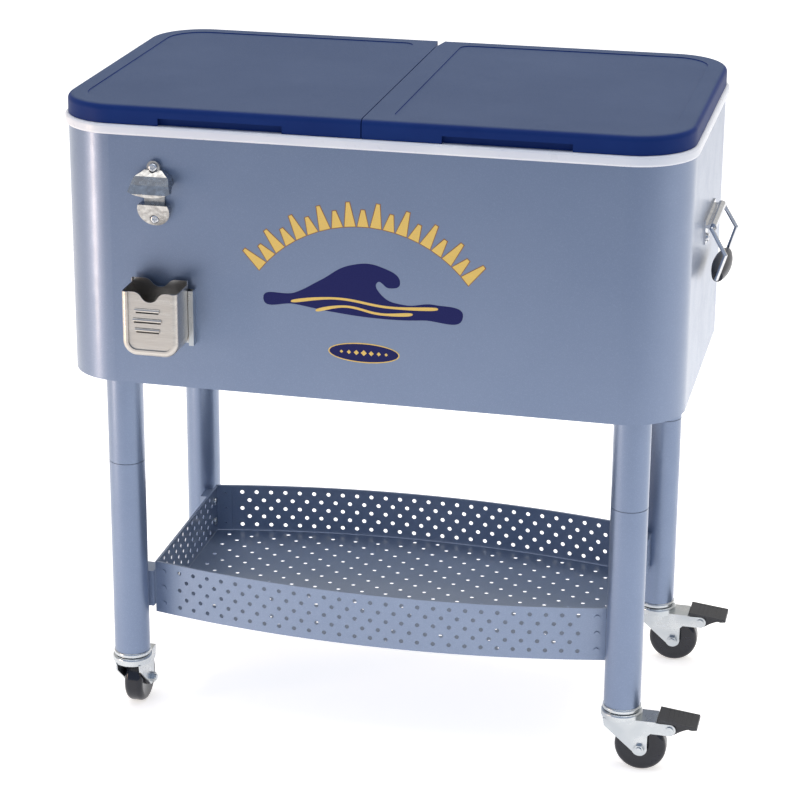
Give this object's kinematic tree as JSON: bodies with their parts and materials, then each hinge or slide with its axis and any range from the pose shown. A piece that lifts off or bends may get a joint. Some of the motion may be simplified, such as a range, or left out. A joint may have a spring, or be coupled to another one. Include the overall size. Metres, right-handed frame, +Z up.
{
  "type": "rolling patio cooler cart",
  "caption": "Painted steel cooler box with split hinged lid on tubular legs, with a perforated bowed tray, swivel casters, bottle opener, cap catcher and bail handles.",
  "frame": {"origin": "on the floor, under the middle of the bounding box; the cooler box's own middle is 17 mm behind it", "axes": "+X to the cart's right seen from the front, +Y to its back, +Z up"},
  "size_m": [0.815, 0.5098, 0.811],
  "materials": {
    "painted_steel": "metallic silver-blue enamel",
    "tray_paint": "metallic silver-blue enamel on thin perforated sheet",
    "lid_plastic": "fine pebble grain, navy",
    "white_plastic": "smooth white moulding",
    "foam": "closed-cell foam",
    "zinc": "bright zinc plate",
    "stainless": "satin stainless",
    "cast_satin": "satin nickel-plated casting",
    "chrome": "bright chrome",
    "black_plastic": "black moulding",
    "pedal_plastic": "dark grey moulding",
    "grip_rubber": "soft black grip"
  },
  "bodies": {
    "cabinet": {"outer_shell": "painted_steel", "bottom_pan": "zinc", "inner_liner": "white_plastic", "foam_insulation": "foam", "hinge_brackets": "zinc", "hinge_pins": "zinc", "body_screws": "chrome", "drain_spout": "white_plastic", "drain_nut": "white_plastic", "bottle_opener": "cast_satin", "catcher_bracket": "zinc", "handle_plates": "chrome", "leg_upper_fl": "painted_steel", "leg_upper_fr": "painted_steel", "leg_upper_rl": "painted_steel", "leg_upper_rr": "painted_steel", "leg_lower_fl": "painted_steel", "leg_lower_fr": "painted_steel", "leg_lower_rl": "painted_steel", "leg_lower_rr": "painted_steel", "leg_couplers": "zinc", "leg_sockets": "black_plastic", "leg_bolts": "zinc", "tray_floor": "tray_paint", "tray_wall_front": "tray_paint", "tray_wall_back": "tray_paint", "tray_wall_left": "tray_paint", "tray_wall_right": "tray_paint", "tray_saddles": "tray_paint", "tray_screws": "zinc", "tray_rivets": "tray_paint", "caster_stems": "zinc"},
    "lid_left": {"lid_left_skin": "lid_plastic", "lid_left_panel": "white_plastic", "lid_left_core": "foam", "lid_left_hinge_leaves": "zinc"},
    "handle_left": {"handle_bail_left": "chrome", "handle_grip_left": "grip_rubber"},
    "lid_right": {"lid_right_skin": "lid_plastic", "lid_right_panel": "white_plastic", "lid_right_core": "foam", "lid_right_hinge_leaves": "zinc"},
    "handle_right": {"handle_bail_right": "chrome", "handle_grip_right": "grip_rubber"},
    "cap_catcher": {"cap_catcher": "stainless"},
    "drain_cap": {"drain_cap": "white_plastic"},
    "caster_fl": {"caster_fork_fl": "zinc", "caster_pins_fl": "zinc"},
    "wheel_fl": {"caster_wheel_fl": "black_plastic"},
    "caster_fr": {"caster_fork_fr": "zinc", "caster_pins_fr": "zinc"},
    "wheel_fr": {"caster_wheel_fr": "black_plastic"},
    "pedal_fr": {"brake_pedal_fr": "pedal_plastic"},
    "caster_rl": {"caster_fork_rl": "zinc", "caster_pins_rl": "zinc"},
    "wheel_rl": {"caster_wheel_rl": "black_plastic"},
    "caster_rr": {"caster_fork_rr": "zinc", "caster_pins_rr": "zinc"},
    "wheel_rr": {"caster_wheel_rr": "black_plastic"},
    "pedal_rr": {"brake_pedal_rr": "pedal_plastic"}
  },
  "joints": [
    {"name": "lid_left_hinge", "type": "hinge", "parent": "cabinet", "child": "lid_left", "pos_m": [-0.185, 0.249, 0.791], "axis": [-1, 0, 0], "range_deg": [0, 105]},
    {"name": "lid_right_hinge", "type": "hinge", "parent": "cabinet", "child": "lid_right", "pos_m": [0.185, 0.249, 0.791], "axis": [-1, 0, 0], "range_deg": [0, 105]},
    {"name": "handle_left_swing", "type": "hinge", "parent": "cabinet", "child": "handle_left", "pos_m": [-0.385, 0.032, 0.659], "axis": [0, 1, 0], "range_deg": [0, 105]},
    {"name": "handle_right_swing", "type": "hinge", "parent": "cabinet", "child": "handle_right", "pos_m": [0.385, 0.032, 0.659], "axis": [0, -1, 0], "range_deg": [0, 105]},
    {"name": "cap_catcher_lift", "type": "slide", "parent": "cabinet", "child": "cap_catcher", "axis": [0, 0, 1], "range_m": [0, 0.058]},
    {"name": "drain_cap_pull", "type": "slide", "parent": "cabinet", "child": "drain_cap", "axis": [-1, 0, 0], "range_m": [0, 0.03]},
    {"name": "caster_fl_swivel", "type": "hinge", "parent": "cabinet", "child": "caster_fl", "pos_m": [-0.315, -0.141, 0.07], "axis": [0, 0, 1], "continuous": true},
    {"name": "wheel_fl_spin", "type": "hinge", "parent": "caster_fl", "child": "wheel_fl", "pos_m": [-0.315, -0.116, 0.03175], "axis": [1, 0, 0], "continuous": true},
    {"name": "caster_fr_swivel", "type": "hinge", "parent": "cabinet", "child": "caster_fr", "pos_m": [0.315, -0.141, 0.07], "axis": [0, 0, 1], "continuous": true},
    {"name": "wheel_fr_spin", "type": "hinge", "parent": "caster_fr", "child": "wheel_fr", "pos_m": [0.34, -0.141, 0.03175], "axis": [0, 1, 0], "continuous": true},
    {"name": "pedal_fr_press", "type": "hinge", "parent": "caster_fr", "child": "pedal_fr", "pos_m": [0.376, -0.141, 0.061], "axis": [0, 1, 0], "range_deg": [0, 8]},
    {"name": "caster_rl_swivel", "type": "hinge", "parent": "cabinet", "child": "caster_rl", "pos_m": [-0.315, 0.175, 0.07], "axis": [0, 0, 1], "continuous": true},
    {"name": "wheel_rl_spin", "type": "hinge", "parent": "caster_rl", "child": "wheel_rl", "pos_m": [-0.315, 0.2, 0.03175], "axis": [1, 0, 0], "continuous": true},
    {"name": "caster_rr_swivel", "type": "hinge", "parent": "cabinet", "child": "caster_rr", "pos_m": [0.315, 0.175, 0.07], "axis": [0, 0, 1], "continuous": true},
    {"name": "wheel_rr_spin", "type": "hinge", "parent": "caster_rr", "child": "wheel_rr", "pos_m": [0.34, 0.175, 0.03175], "axis": [0, 1, 0], "continuous": true},
    {"name": "pedal_rr_press", "type": "hinge", "parent": "caster_rr", "child": "pedal_rr", "pos_m": [0.376, 0.175, 0.061], "axis": [0, 1, 0], "range_deg": [0, 8]}
  ]
}
